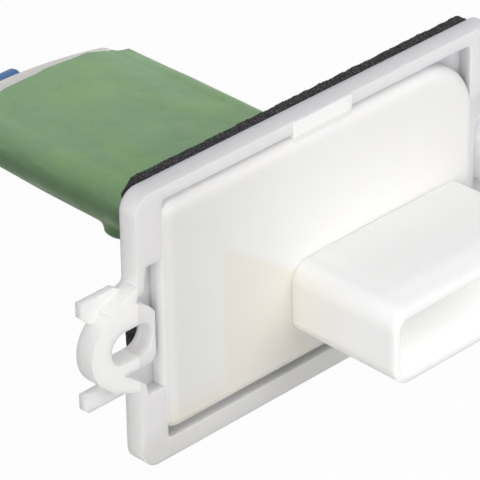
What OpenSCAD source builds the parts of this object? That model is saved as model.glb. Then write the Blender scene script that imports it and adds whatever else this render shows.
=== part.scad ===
// Blower motor resistor of a vehicle heater: a moulded base with a plug socket in front, two screw tabs,
// a foam gasket behind and a coated wire-wound ceramic element that hangs in the air duct.
// The origin lies midway between the two screw holes, on the rear face of the tabs that meets the duct.
// X runs along the flange, Y points back into the duct, Z is up. All lengths are millimetres.

/* [Flange] */
// Length of the flange
flange_w = 82.6; // [80:0.1:90]
// Height of the flange
flange_h = 50; // [48:0.5:56]
// Thickness of the flange at its rim
flange_t = 3.65; // [3:0.05:5]
// Thickness of the floor between the rim and the raised panel
floor_t = 1.2; // [0.8:0.1:1.6]
// Radius of the flange's outer corners
flange_corner_r = 3.4; // [1:0.1:4]
// Height of the flange's middle above the screw holes
flange_rise = 0.3; // [0:0.1:1]
// Width of the rim on the left side, up to the panel
rim_left = 5.6; // [4.8:0.1:6.2]
// Width of the rim on the right side
rim_right = 6.7; // [6:0.1:7.4]
// Width of the rim along the top
rim_top = 2.3; // [1.4:0.1:3]
// Width of the rim along the bottom
rim_bottom = 3.6; // [2:0.1:4]
// Radius of the rim's inner corners
pocket_corner_r = 0.9; // [0.4:0.1:1.4]

/* [Raised panel] */
// How far the panel stands out past the rim
panel_proud = 0.9; // [0.4:0.1:1.6]
// How far the panel's left and right sides reach into the rim
panel_lap = 0.7; // [0.6:0.1:1]
// Width of the groove above the panel
groove_top = 0.5; // [0.4:0.1:1.4]
// Width of the groove below the panel
groove_bottom = 1.3; // [1:0.1:2.4]
// Radius of the panel's rounded front edge
panel_edge_r = 2.4; // [1:0.1:3]
// Radius of the corners of the panel's flat front
panel_face_r = 0.5; // [0.2:0.1:1.6]
// Radius of the panel's upper right corner
panel_big_r = 12; // [8:0.5:14]
// Width of the bridge that joins the panel to the top rim
bridge_w = 13; // [8:0.5:20]
// Distance of the bridge's middle to the left of the flange's middle
bridge_left = 0.4; // [0:0.1:2]
// How far the bridge stands out past the rim
bridge_proud = 0.35; // [0.2:0.05:0.8]

/* [Plug socket] */
// Outer width of the socket
socket_w = 40.6; // [39:0.1:42]
// Outer height of the socket
socket_h = 13.4; // [12.6:0.1:16]
// How far the socket stands out in front of the rear face
socket_reach = 27.35; // [24:0.05:32]
// Distance of the socket's middle to the right of the flange's middle
socket_x = 11.8; // [11:0.1:13]
// Height of the socket's middle above the screw holes
socket_z = -7; // [-8:0.05:-6]
// Wall of the socket
socket_wall = 1.4; // [1:0.1:1.8]
// Radius of the socket's corners
socket_corner_r = 3.5; // [2.5:0.1:4.5]
// Width of the raised pad on the socket's top
pad_w = 26.4; // [20:0.1:30]
// Height of the raised pad on the socket's top
pad_h = 0.4; // [0.3:0.1:1.2]
// Distance of the pad's front end behind the socket's mouth
pad_back = 6; // [4:0.5:12]
// Thickness of the base behind the socket's hollow, from the rear face
socket_floor = 4; // [3:0.1:6]

/* [Screw tabs] */
// Distance between the two screw holes
hole_spacing = 85.6; // [85:0.1:89]
// Radius of the round ends of each slotted screw hole
hole_r = 2.95; // [2.6:0.05:3.2]
// Length of each slotted screw hole, from end to end
hole_len = 8.8; // [7:0.1:9.2]
// Radius of the boss round each screw hole
boss_r = 7.3; // [7:0.1:8]
// Distance from the screw hole out to the boss's middle
boss_out = 1.2; // [0.8:0.1:1.4]
// Slope of the webs between each boss and the flange, in degrees
web_lean = 24; // [20:1:28]
// How far each web's outer end stands out past the boss
web_out = 0.5; // [0.2:0.1:0.8]
// Height of each web where it meets the flange
web_w = 2.1; // [1.6:0.1:2.6]
// Distance from the screw hole to the boss's flat side on the flange
boss_flat = 5; // [4.8:0.1:5.4]
// Distance from the screw hole to the boss's flat underside
boss_under = 5.1; // [4.6:0.1:5.6]
// Thickness of the small ears beside each boss
ear_t = 1.3; // [1:0.1:2]
// Reach of the ears past the screw hole
ear_reach = 8.3; // [7.8:0.1:8.8]
// Distance from the screw hole to the outer edge of the upper ear
ear_top = 9.9; // [9.7:0.1:10.4]
// Distance from the screw hole to the outer edge of the lower ear
ear_bottom = 10.3; // [10:0.1:11]
// Height of the upper ear
upper_ear_h = 4; // [3.6:0.1:4.4]
// Height of the lower ear
lower_ear_h = 3.4; // [3:0.1:3.8]
// Width of the chamfer at each ear's lower corner
ear_chamfer = 0.7; // [0.4:0.1:0.8]
// Depth of the dip in the upper ear's edge beside the flange
ear_dip = 1; // [0.6:0.1:1.2]
// Height of the notch in the rim above each screw hole
notch_up = 12.6; // [12.2:0.1:13]
// Depth of the notch in the rim below each screw hole
notch_down = 10.9; // [10.6:0.1:11.4]
// Distance from the screw hole to the notch's straight side
notch_side = 3.4; // [3.1:0.1:3.7]
// Width of the notch's slanted corners
notch_slant = 0.7; // [0.4:0.1:0.9]

/* [Rear collar] */
// Width of the collar that holds the element behind the flange
collar_w = 49; // [48:0.5:52]
// Height of the collar
collar_h = 16.6; // [16.2:0.1:20]
// Length of the collar behind the flange
collar_len = 10; // [8:0.5:14]
// Distance of the collar's middle to the right of the flange's middle
collar_x = 4; // [3.8:0.1:4.2]
// Height of the collar's middle above the screw holes
collar_z = -1.4; // [-1.6:0.1:-1.2]
// Radius of the collar's corners
collar_corner_r = 3; // [1:0.1:4]
// Depth of the collar's front wall behind the rear face, where the riser slots end
slot_start = 1.6; // [1:0.1:2]

/* [Foam gasket] */
// Thickness of the gasket
gasket_t = 2.5; // [1.5:0.1:4]
// Distance of the gasket's left end inside the flange
gasket_inset_left = 2.6; // [1.5:0.1:4]
// Distance of the gasket's right end inside the flange
gasket_inset_right = 1.6; // [1:0.1:4]
// Gap between the gasket and the collar
gasket_gap = 0.25; // [0.1:0.05:0.3]

/* [Ceramic element] */
// Distance of the element's middle to the right of the flange's middle
element_x = 1.2; // [1:0.1:1.5]
// Height of the element's middle above the screw holes
element_z = 0.4; // [0.2:0.1:0.6]
// Width of the ceramic former
former_w = 35.7; // [35:0.1:37]
// Thickness of the ceramic former
former_t = 5; // [4.6:0.1:5.2]
// Distance of the former's far end behind the flange's rear face
former_end = 71.3; // [70:0.1:76]
// Distance of the former's near end behind the flange's rear face
former_start = 3.6; // [3.4:0.1:4.5]
// Radius of the former's bowed far end, seen from above
former_bow_r = 60; // [50:1:120]
// Distance of the bow's crown to the left of the element's middle
bow_left = 5; // [0:0.5:6]
// Distance between the bores that run through the former
bore_pitch = 8; // [7.8:0.1:8.2]
// Distance from the former's left side to its first bore
bore_edge = 5.15; // [4.8:0.05:5.8]
// Radius of the bores in the former
bore_r = 1.1; // [0.9:0.1:1.3]
// Clearance round the former in the collar and in the coating
former_gap = 0.1; // [0.05:0.05:0.2]

/* [Windings] */
// Radius of the resistance wire
wire_r = 0.4; // [0.3:0.05:0.45]
// Distance of the first tap band's middle behind the rear face
first_tap = 14; // [13.5:0.5:16]
// Distance from the first tap band to the second
run_1 = 14; // [12:0.5:15]
// Distance from the second tap band to the third
run_2 = 16; // [14:0.5:17]
// Distance from the third tap band to the fourth
run_3 = 18; // [16:0.5:18]
// Turns of wire in the first section
turns_1 = 7; // [4:1:8]
// Turns of wire in the second section
turns_2 = 6; // [4:1:8]
// Turns of wire in the third section
turns_3 = 5; // [4:1:8]
// Width of a tap band
band_w = 3; // [2:0.1:3.4]
// Thickness of a tap band
band_t = 0.5; // [0.3:0.05:0.6]
// Radius of the nickel leads in the former's bores
lead_r = 0.65; // [0.5:0.05:0.7]

/* [Silicone coating] */
// Thickness of the coating past each narrow side of the former
coat_edge = 1.9; // [1.7:0.1:3]
// Thickness over the coating at its rounded sides
coat_side_t = 8.2; // [8:0.1:9]
// Thickness over the coating in the middle
coat_mid_t = 10.2; // [9:0.1:12]
// Width of the flat strip on each side of the coating's dome
coat_strip = 1; // [0.5:0.1:2]
// Distance of the coating's far end behind the flange's rear face
coat_end = 66.5; // [65:0.1:68]
// Radius of the coating's bowed far end, seen from above
coat_bow_r = 150; // [120:5:300]
// Thickness of the coating's near end wall on the former
coat_end_wall = 1.4; // [1:0.1:2]
// Radius of the coated joint under the element
lump_r = 3.6; // [3:0.1:4]
// Distance of the coated joint behind the flange's rear face
lump_y = 29.7; // [26:0.1:31]
// Distance of the coated joint inside the coating's left side
lump_in = 1.6; // [1:0.1:3]
// Distance of the coated joint's middle below the coating's underside
lump_down = 0.9; // [0.4:0.1:1.2]

/* [Terminals] */
// Width of a terminal blade
blade_w = 6.3; // [4.8:0.1:6.5]
// Thickness of the terminal sheet
blade_t = 0.8; // [0.6:0.05:0.9]
// Distance between the blades
blade_pitch = 8; // [7.8:0.1:8.2]
// Distance of the blade tips behind the socket's mouth
blade_back = 7.5; // [7.5:0.1:10]
// Taper of the blade's tip on each side
blade_taper = 1.2; // [0.6:0.1:1.6]
// Width of the risers that lead up to the former
riser_w = 2.4; // [2:0.1:2.6]
// How far the round weld pad at each riser's end stands out past the riser
riser_pad = 0.3; // [0.2:0.05:0.5]
// Distance of the risers behind the slots' front wall
riser_set = 0.4; // [0.2:0.05:0.6]
// Clearance round the terminals in the base
blade_gap = 0.1; // [0.05:0.05:0.15]

/* [Thermal fuse] */
// Radius of the fuse's sleeve
sleeve_r = 2; // [1.8:0.1:2.2]
// Wall of the fuse's sleeve
sleeve_wall = 0.5; // [0.3:0.05:0.6]
// Length of the fuse's sleeve
sleeve_len = 11; // [9:0.1:11.4]
// Distance of the sleeve's right end to the right of the flange's middle
sleeve_right = 2.1; // [1.6:0.1:2.3]
// Rounding of the sleeve's ends
sleeve_round = 0.3; // [0.1:0.05:0.4]
// Length of the fuse's case
fuse_len = 8.4; // [7:0.1:8.6]
// Width of the shoulder at each end of the fuse's case
fuse_shoulder = 0.5; // [0.3:0.1:0.7]
// Length of the fuse's sealed cone
fuse_cone = 1.6; // [1:0.1:2]
// Gap between the former's far end and the sleeve
sleeve_gap = 0.2; // [0.1:0.05:0.3]

/* [Hidden] */
$fn = 64;
EPS = 0.01;
CUT = 1;
BLADES = 4;
HELIX_SIDES = 8;
ARC_STEPS = 8;
panel_t = flange_t + panel_proud;
bridge_t = flange_t + bridge_proud;
flange_left = -flange_w / 2;
flange_right = flange_w / 2;
flange_top = flange_rise + flange_h / 2;
flange_bottom = flange_rise - flange_h / 2;
tab_foot = hole_spacing / 2 - flange_w / 2;
pocket_left = flange_left + rim_left;
pocket_right = flange_right - rim_right;
pocket_top = flange_top - rim_top;
pocket_bottom = flange_bottom + rim_bottom;
panel_left = pocket_left - panel_lap;
panel_right = pocket_right + panel_lap;
panel_top = pocket_top - groove_top;
panel_bottom = pocket_bottom + groove_bottom;
panel_corner_r = panel_edge_r + panel_face_r;
bore_first = element_x - former_w / 2 + bore_edge;
blade_first = socket_x - (BLADES - 1) / 2 * blade_pitch;
blade_tip = socket_reach - blade_back;
riser_front = slot_start + riser_set;
riser_back = riser_front + blade_t;
tap_y = [first_tap, first_tap + run_1, first_tap + run_1 + run_2, first_tap + run_1 + run_2 + run_3];
turns = [turns_1, turns_2, turns_3];
wire_gap = 0.07;
wire_off = wire_r + wire_gap;
cavity_gap = 0.08;
coat_start = collar_len;
coat_w = former_w + 2 * coat_edge;
lump_x = element_x - coat_w / 2 + lump_r + lump_in;
coat_hollow_end = tap_y[BLADES - 1] + band_w / 2 + cavity_gap;
sleeve_y = former_end + sleeve_gap + sleeve_r;
sleeve_left = sleeve_right - sleeve_len;
fuse_gap = 0.05;
fuse_r = sleeve_r - sleeve_wall - fuse_gap;
fuse_x = (sleeve_left + sleeve_right) / 2;
riser_gap = 3 * blade_gap;
bend_r = 1.3;
bore_out = bore_first + 2 * bore_pitch;
nylon = [0.93, 0.93, 0.9];
tinned = [0.78, 0.78, 0.76];
nickel = [0.66, 0.66, 0.63];

// Turns a flat outline in X and Z into a plate that reaches from y_back forward to y_front
module plate(y_front, y_back) {
    translate([0, y_back, 0])
        rotate([90, 0, 0])
            linear_extrude(y_back - y_front)
                children();
}

// Rectangle between two corners with rounded corners
module round_box(left, right, bottom, top, r) {
    translate([left + r, bottom]) square([right - left - 2 * r, top - bottom]);
    translate([left, bottom + r]) square([right - left, top - bottom - 2 * r]);
    for (x = [left + r, right - r])
        for (z = [bottom + r, top - r])
            translate([x, z]) circle(r);
}

// Long outline with half-round ends, its middle at the element's middle
module stadium(w, t) {
    translate([element_x, element_z]) {
        square([w - t, t], center = true);
        for (side = [-1, 1])
            translate([side * (w - t) / 2, 0]) circle(t / 2);
    }
}

// Everything past an end that is bowed as seen from above, to be cut away
module past_bow(y_end, r) {
    translate([element_x - bow_left, y_end, element_z - coat_mid_t])
        linear_extrude(2 * coat_mid_t)
            difference() {
                translate([-coat_w, -coat_mid_t]) square([2 * coat_w, 2 * coat_mid_t]);
                translate([0, -r]) circle(r, $fn = 512);
            }
}

// Half section of the panel's edge, from its rounded front edge inwards
module edge_profile(depth) {
    square([depth - panel_edge_r, panel_t]);
    square([depth, panel_t - panel_edge_r]);
    intersection() {
        square([depth, panel_t]);
        translate([depth - panel_edge_r, panel_t - panel_edge_r]) circle(panel_edge_r);
    }
}

// One rounded corner of the panel, turned to its quarter
module panel_corner(x, z, r, turn) {
    translate([x, z, 0])
        rotate([0, 0, turn])
            rotate_extrude(angle = 90)
                edge_profile(r);
}

// One straight side of the panel, laid outward from a corner's centre
module panel_side(x, z, r, turn, length) {
    translate([x, z, 0])
        rotate([0, 0, turn])
            rotate([90, 0, 0])
                linear_extrude(length)
                    edge_profile(r);
}

// The raised panel with its soft front edge; the upper right corner has the larger radius
module raised_panel() {
    r = panel_corner_r;
    big = panel_big_r;
    rotate([90, 0, 0]) {
        panel_corner(panel_left + r, panel_bottom + r, r, 180);
        panel_corner(panel_right - r, panel_bottom + r, r, 270);
        panel_corner(panel_right - big, panel_top - big, big, 0);
        panel_corner(panel_left + r, panel_top - r, r, 90);
        panel_side(panel_right - r, panel_top - big, r, 0, panel_top - big - panel_bottom - r);
        panel_side(panel_left + r, panel_top - r, r, 90, panel_right - big - panel_left - r);
        panel_side(panel_left + r, panel_bottom + r, r, 180, panel_top - panel_bottom - 2 * r);
        panel_side(panel_right - r, panel_bottom + r, r, 270, panel_right - panel_left - 2 * r);
        translate([panel_left + r, panel_bottom + r, 0])
            cube([panel_right - big - panel_left - r, panel_top - panel_bottom - 2 * r, panel_t]);
        translate([panel_left + r, panel_bottom + r, 0])
            cube([panel_right - panel_left - 2 * r, panel_top - big - panel_bottom - r, panel_t]);
    }
}

// Everything of one screw tab that has the full thickness; the hole's centre is at 0, the flange lies to +X
module tab_outline() {
    foot = tab_foot + EPS;
    outer = boss_r + web_out;
    inner = boss_r - web_w / 2;
    start = [-boss_out - outer * sin(web_lean), outer * cos(web_lean)];
    cap = [-boss_out - inner * sin(web_lean), inner * cos(web_lean)];
    rise = start[1] + (foot - start[0]) * tan(web_lean);
    under = [-boss_out - web_out / 2, -boss_under - web_out / 2];
    difference() {
        translate([-boss_out, 0]) circle(boss_r);
        translate([boss_flat, -2 * boss_r]) square([boss_r, 4 * boss_r]);
        translate([under[0], -boss_under - boss_r]) square([2 * boss_r, boss_r]);
    }
    polygon([start, [foot, rise], [foot, rise - web_w], [web_w / 4, inner], cap]);
    polygon([[start[0], -start[1]], [foot, -rise], [foot, web_w - rise], under, [cap[0], -cap[1]]]);
}

// The hollow in the rim round one boss, above and below it
module notch_outline() {
    inside = tab_foot + rim_left;
    polygon([[notch_side, notch_up], [inside, notch_up], [inside, -notch_down],
        [notch_side - notch_slant / 2, -notch_down], [notch_side - notch_slant, -boss_r - 2 * notch_slant],
        [-boss_out, -boss_under - notch_slant / 2], [0, 0], [0, boss_r - notch_slant],
        [notch_side - notch_slant, boss_r + 2 * notch_slant]]);
}

// Small ears above and below a boss, with chamfered lower corners
module ear_outline() {
    foot = tab_foot + EPS;
    under = ear_top - upper_ear_h;
    polygon([[-ear_reach, ear_top], [-boss_out, ear_top], [ear_dip / 4, ear_top - ear_dip],
        [foot - ear_dip / 2, ear_top - ear_dip / 2], [foot, ear_top + ear_chamfer / 2], [foot, boss_r / 2],
        [-ear_reach / 2, under - 2 * ear_chamfer], [2 * ear_chamfer - ear_reach, under],
        [-ear_reach, under + 2 * ear_chamfer]]);
    polygon([[-ear_reach, ear_chamfer - ear_bottom], [ear_chamfer - ear_reach, -ear_bottom],
        [foot, -ear_bottom], [foot, -boss_under / 2], [-boss_out, -boss_under / 2],
        [-boss_out - boss_r / 2, lower_ear_h - ear_bottom], [-ear_reach, lower_ear_h - ear_bottom]]);
}

// One screw hole, a slot along the flange
module hole_outline() {
    span = hole_len / 2 - hole_r;
    square([2 * span, 2 * hole_r], center = true);
    for (side = [-1, 1])
        translate([side * span, 0]) circle(hole_r);
}

// A tab's outline on the left, and its mirror image on the right
module both_tabs() {
    for (side = [0, 1])
        mirror([side, 0, 0])
            translate([-hole_spacing / 2, 0, 0])
                children();
}

// Diagonal path of one riser, from its blade up to its bore
module riser_outline(i, extra) {
    low = [blade_first + i * blade_pitch, socket_z];
    high = [bore_first + i * bore_pitch, element_z];
    lean = atan2(high[1] - low[1], high[0] - low[0]);
    translate(low)
        rotate(lean)
            translate([0, -riser_w / 2 - extra])
                square([norm(high - low), riser_w + 2 * extra]);
    for (end = [low, high])
        translate(end) circle(riser_w / 2 + riser_pad + extra);
}

module socket_shell() {
    left = socket_x - socket_w / 2;
    right = socket_x + socket_w / 2;
    bottom = socket_z - socket_h / 2;
    top = socket_z + socket_h / 2;
    plate(-socket_reach, -floor_t) round_box(left, right, bottom, top, socket_corner_r);
    plate(pad_back - socket_reach, -floor_t)
        translate([socket_x - pad_w / 2, top - socket_wall])
            square([pad_w, socket_wall + pad_h]);
}

module socket_hollow() {
    left = socket_x - socket_w / 2 + socket_wall;
    right = socket_x + socket_w / 2 - socket_wall;
    bottom = socket_z - socket_h / 2 + socket_wall;
    top = socket_z + socket_h / 2 - socket_wall;
    plate(-socket_reach - CUT, -socket_floor)
        round_box(left, right, bottom, top, socket_corner_r - socket_wall);
}

module collar() {
    plate(-EPS, collar_len)
        round_box(collar_x - collar_w / 2, collar_x + collar_w / 2,
            collar_z - collar_h / 2, collar_z + collar_h / 2, collar_corner_r);
}

// One-piece moulding: flange with rim, raised panel, plug socket, screw tabs and rear collar
module base_housing() {
    color(nylon)
    difference() {
        union() {
            difference() {
                plate(-flange_t, 0)
                    round_box(flange_left, flange_right, flange_bottom, flange_top, flange_corner_r);
                plate(-flange_t - CUT, -floor_t)
                    round_box(pocket_left, pocket_right, pocket_bottom, pocket_top, pocket_corner_r);
                both_tabs() plate(-flange_t - CUT, -floor_t) notch_outline();
            }
            raised_panel();
            plate(-bridge_t, 0)
                translate([-bridge_w / 2 - bridge_left, panel_top - panel_corner_r])
                    square([bridge_w, flange_top - panel_top + panel_corner_r]);
            both_tabs() {
                plate(-flange_t, 0) tab_outline();
                plate(-ear_t, 0) ear_outline();
            }
            socket_shell();
            collar();
        }
        both_tabs() plate(-flange_t - CUT, CUT) hole_outline();
        socket_hollow();
        plate(former_start - former_gap, collar_len + CUT)
            stadium(former_w + 2 * former_gap, former_t + 2 * former_gap);
        for (i = [0 : BLADES - 1]) {
            plate(slot_start, collar_len + CUT) riser_outline(i, riser_gap);
            plate(-socket_floor - CUT, slot_start + 2 * blade_gap)
                translate([blade_first + i * blade_pitch, socket_z])
                    square([blade_w + 2 * blade_gap, blade_t + 2 * blade_gap], center = true);
        }
    }
}

// Soft foam ring between the flange and the duct
module foam_gasket() {
    color([0.16, 0.16, 0.17])
    difference() {
        plate(0, gasket_t)
            round_box(flange_left + gasket_inset_left, flange_right - gasket_inset_right,
                flange_bottom, flange_top, flange_corner_r);
        plate(-CUT, gasket_t + CUT)
            round_box(collar_x - collar_w / 2 - gasket_gap, collar_x + collar_w / 2 + gasket_gap,
                collar_z - collar_h / 2 - gasket_gap, collar_z + collar_h / 2 + gasket_gap,
                collar_corner_r + gasket_gap);
    }
}

// Pressed ceramic bar with four bores along it and a side hole at each tap
module ceramic_former() {
    color([0.94, 0.92, 0.88])
    difference() {
        plate(former_start, former_end) stadium(former_w, former_t);
        past_bow(former_end, former_bow_r);
        for (i = [0 : BLADES - 1])
            translate([bore_first + i * bore_pitch, former_start - CUT, element_z])
                rotate([-90, 0, 0]) cylinder(h = former_end - former_start + 2 * CUT, r = bore_r);
        for (tap = [0 : BLADES - 1])
            translate([tap_x(tap), tap_y[tap], element_z - former_t])
                cylinder(h = former_t, r = bore_r);
    }
}

// Which bore each tap's lead comes from: the fourth terminal feeds the first tap, the fuse feeds the last
function tap_x(tap) = tap == 3 ? bore_out : bore_first + (3 - tap) * bore_pitch;

// Crowned outline of the coating: half-round sides and a slightly domed top and bottom
module coat_outline() {
    half = coat_w / 2 - coat_side_t / 2;
    rise = (coat_mid_t - coat_side_t) / 2;
    reach = half - coat_strip;
    dome_r = (reach * reach + rise * rise) / (2 * rise);
    stadium(coat_w, coat_side_t);
    translate([element_x, element_z])
        intersection() {
            square([2 * half, 2 * coat_mid_t], center = true);
            translate([0, coat_mid_t / 2 - dome_r]) circle(dome_r, $fn = 256);
            translate([0, dome_r - coat_mid_t / 2]) circle(dome_r, $fn = 256);
        }
}

// Closed jacket over the windings, with a coated joint under it
module silicone_coating() {
    winding_out = 2 * (wire_gap + 2 * wire_r + cavity_gap);
    color([0.42, 0.58, 0.4])
    difference() {
        union() {
            difference() {
                plate(coat_start, coat_end) coat_outline();
                past_bow(coat_end, coat_bow_r);
            }
            translate([lump_x, lump_y, element_z - coat_side_t / 2 - lump_down]) {
                sphere(lump_r);
                rotate([0, 90, 0]) cylinder(h = lump_r, r = lump_r);
                translate([lump_r, 0, 0]) sphere(lump_r);
            }
        }
        plate(coat_start - CUT, coat_end + CUT)
            stadium(former_w + 2 * former_gap, former_t + 2 * former_gap);
        plate(coat_start + coat_end_wall, coat_hollow_end)
            stadium(former_w + winding_out, former_t + winding_out);
    }
}

// Points round a stadium at one winding position, as centre and outward direction
function lap(u) =
    let(flat = former_w - former_t, r = former_t / 2 + wire_off, steps = 2 * ARC_STEPS + 2,
        k = floor(u * steps + 0.001), side = k <= ARC_STEPS ? 1 : -1,
        a = side > 0 ? 90 - 180 * k / ARC_STEPS : -90 - 180 * (k - ARC_STEPS - 1) / ARC_STEPS)
    [element_x + side * flat / 2 + r * cos(a), element_z + r * sin(a), cos(a), sin(a)];

// Wire of one section, wound in even laps between its two tap bands
module winding(i) {
    steps = 2 * ARC_STEPS + 2;
    start = tap_y[i] + band_w / 2 + wire_r + wire_gap;
    end = tap_y[i + 1] - band_w / 2 - wire_r - wire_gap;
    count = turns[i] * steps;
    points = [for (k = [0 : count])
        let(p = lap((k % steps) / steps), y = start + (end - start) * k / count)
        for (j = [0 : HELIX_SIDES - 1])
            let(a = 360 * j / HELIX_SIDES)
            [p[0] + wire_r * cos(a) * p[2], y + wire_r * sin(a), p[1] + wire_r * cos(a) * p[3]]];
    sides = [for (k = [0 : count - 1], j = [0 : HELIX_SIDES - 1])
        let(n = (j + 1) % HELIX_SIDES)
        [k * HELIX_SIDES + j, k * HELIX_SIDES + n, (k + 1) * HELIX_SIDES + n, (k + 1) * HELIX_SIDES + j]];
    first_cap = [[for (j = [HELIX_SIDES - 1 : -1 : 0]) j]];
    last_cap = [[for (j = [0 : HELIX_SIDES - 1]) count * HELIX_SIDES + j]];
    color([0.55, 0.5, 0.44])
        polyhedron(points, concat(sides, first_cap, last_cap), convexity = 10);
}

// Tinned band clamped round the former at one tap
module tap_band(i) {
    color(tinned)
    plate(tap_y[i] - band_w / 2, tap_y[i] + band_w / 2)
        difference() {
            stadium(former_w + 2 * band_t, former_t + 2 * band_t);
            stadium(former_w, former_t);
        }
}

// Stamped terminal: blade in the socket, tail through the base and riser up to the former
module terminal(i) {
    edge = blade_w / 2;
    tail = riser_w / 2;
    stop = slot_start - blade_gap;
    color(tinned) {
        translate([blade_first + i * blade_pitch, 0, socket_z - blade_t / 2])
            linear_extrude(blade_t)
                polygon([[blade_taper - edge, -blade_tip], [edge - blade_taper, -blade_tip],
                    [edge, blade_taper - blade_tip], [edge, stop], [tail, stop], [tail, riser_back],
                    [-tail, riser_back], [-tail, stop], [-edge, stop], [-edge, blade_taper - blade_tip]]);
        plate(riser_front, riser_back) riser_outline(i, 0);
    }
}

// Nickel lead from a riser through its bore to the side hole of its tap
module tap_lead(i) {
    tap = 3 - i;
    reach = tap_y[tap] - riser_back;
    color(nickel)
    translate([bore_first + i * bore_pitch, 0, element_z]) {
        translate([0, riser_back, 0]) rotate([-90, 0, 0]) cylinder(h = reach + lead_r, r = lead_r);
        translate([0, tap_y[tap], -former_t / 2]) cylinder(h = former_t / 2, r = lead_r);
    }
}

// Quarter bend of a lead from the way back (+Y) to one side
module lead_bend(side) {
    mirror([side > 0 ? 0 : 1, 0, 0])
        translate([bend_r, 0, 0])
            rotate([0, 0, 90])
                rotate_extrude(angle = 90) translate([bend_r, 0]) circle(lead_r);
}

// Lead from the first riser through the whole former and round into the fuse's sleeve
module fuse_lead_in() {
    color(nickel)
    translate([bore_first, 0, element_z]) {
        translate([0, sleeve_y - bend_r, 0])
            rotate([90, 0, 0]) cylinder(h = sleeve_y - bend_r - riser_back, r = lead_r);
        translate([0, sleeve_y - bend_r, 0]) lead_bend(1);
        translate([bend_r, sleeve_y, 0])
            rotate([0, 90, 0]) cylinder(h = fuse_x - fuse_len / 2 - bore_first - bend_r, r = lead_r);
    }
}

// Lead from the fuse back into the former and down to the last tap band
module fuse_lead_out() {
    color(nickel)
    translate([bore_out, 0, element_z]) {
        translate([0, sleeve_y - bend_r, 0])
            rotate([90, 0, 0]) cylinder(h = sleeve_y - bend_r - tap_y[3] + lead_r, r = lead_r);
        translate([0, tap_y[3], -former_t / 2]) cylinder(h = former_t / 2, r = lead_r);
        translate([0, sleeve_y - bend_r, 0]) lead_bend(-1);
        translate([-bend_r, sleeve_y, 0])
            rotate([0, -90, 0]) cylinder(h = bore_out - bend_r - fuse_x - fuse_len / 2, r = lead_r);
    }
}

// Metal case of the thermal fuse with its sealed shoulder
module thermal_fuse() {
    color([0.72, 0.7, 0.66])
    translate([fuse_x - fuse_len / 2, sleeve_y, element_z])
        rotate([0, 90, 0])
            rotate_extrude()
                polygon([[0, 0], [fuse_r - fuse_shoulder, 0], [fuse_r, fuse_shoulder],
                    [fuse_r, fuse_len - fuse_cone], [fuse_r - fuse_shoulder, fuse_len], [0, fuse_len]]);
}

// Coloured sleeve over the fuse
module fuse_sleeve() {
    color([0.27, 0.47, 0.72])
    translate([sleeve_left, sleeve_y, element_z])
        rotate([0, 90, 0])
            rotate_extrude()
                polygon([[sleeve_r - sleeve_wall, 0], [sleeve_r - sleeve_round, 0],
                    [sleeve_r, sleeve_round], [sleeve_r, sleeve_len - 2 * sleeve_round],
                    [sleeve_r - sleeve_round, sleeve_len], [sleeve_r - sleeve_wall, sleeve_len]]);
}

base_housing();
foam_gasket();
ceramic_former();
silicone_coating();
winding(0);  // winding_1
winding(1);  // winding_2
winding(2);  // winding_3
tap_band(0);  // tap_band_1
tap_band(1);  // tap_band_2
tap_band(2);  // tap_band_3
tap_band(3);  // tap_band_4
terminal(0);  // terminal_1
terminal(1);  // terminal_2
terminal(2);  // terminal_3
terminal(3);  // terminal_4
tap_lead(1);  // tap_lead_2
tap_lead(2);  // tap_lead_3
tap_lead(3);  // tap_lead_4
fuse_lead_in();
fuse_lead_out();
thermal_fuse();
fuse_sleeve();
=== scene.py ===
# %% [markdown]
# # Blower motor resistor
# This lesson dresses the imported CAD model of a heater's blower resistor: a white nylon flange with a plug
# socket, a black foam gasket behind it, and a ceramic bar in a green silicone coat that hangs in the air
# duct. The CAD solids give every size. Here each visible piece gets soft edges, a worked surface and a
# material of its own.

# %% Load the frame
import math

import bmesh
import bpy
import numpy as np
from mathutils import Matrix, Vector, noise


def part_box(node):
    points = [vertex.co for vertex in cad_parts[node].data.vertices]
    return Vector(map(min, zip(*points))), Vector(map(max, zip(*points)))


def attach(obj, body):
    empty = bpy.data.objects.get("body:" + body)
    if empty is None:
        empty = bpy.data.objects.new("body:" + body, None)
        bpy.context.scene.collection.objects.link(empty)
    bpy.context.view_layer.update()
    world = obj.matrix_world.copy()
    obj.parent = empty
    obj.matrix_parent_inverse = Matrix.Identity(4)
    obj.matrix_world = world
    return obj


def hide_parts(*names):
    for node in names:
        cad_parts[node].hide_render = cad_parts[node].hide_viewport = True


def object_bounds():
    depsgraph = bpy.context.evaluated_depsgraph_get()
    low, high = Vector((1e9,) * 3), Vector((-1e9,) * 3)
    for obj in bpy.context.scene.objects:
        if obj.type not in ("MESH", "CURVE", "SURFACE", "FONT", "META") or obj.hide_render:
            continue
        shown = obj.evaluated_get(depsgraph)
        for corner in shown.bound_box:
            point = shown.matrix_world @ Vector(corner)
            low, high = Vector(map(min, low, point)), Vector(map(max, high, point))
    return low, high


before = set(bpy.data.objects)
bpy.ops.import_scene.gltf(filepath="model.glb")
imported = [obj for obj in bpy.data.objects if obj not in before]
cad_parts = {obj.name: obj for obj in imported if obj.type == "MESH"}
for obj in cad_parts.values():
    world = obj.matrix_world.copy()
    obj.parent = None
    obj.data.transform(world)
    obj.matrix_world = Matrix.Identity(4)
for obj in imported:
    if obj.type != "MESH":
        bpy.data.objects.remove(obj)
cad_box = [list(corner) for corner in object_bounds()]
MM = 0.001
print("CAD box in mm:", [[round(value / MM, 1) for value in corner] for corner in cad_box])

# %% [markdown]
# ## Camera
# A product photograph is taken from far away with a long lens, so parallel edges stay nearly parallel.
# The camera is placed by the direction it looks from: turned 44 degrees to the left of the front and
# raised 31 degrees, with a small roll. Angles are easier to read and to change than a matrix. The lens
# then follows from how large the flange appears.

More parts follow.
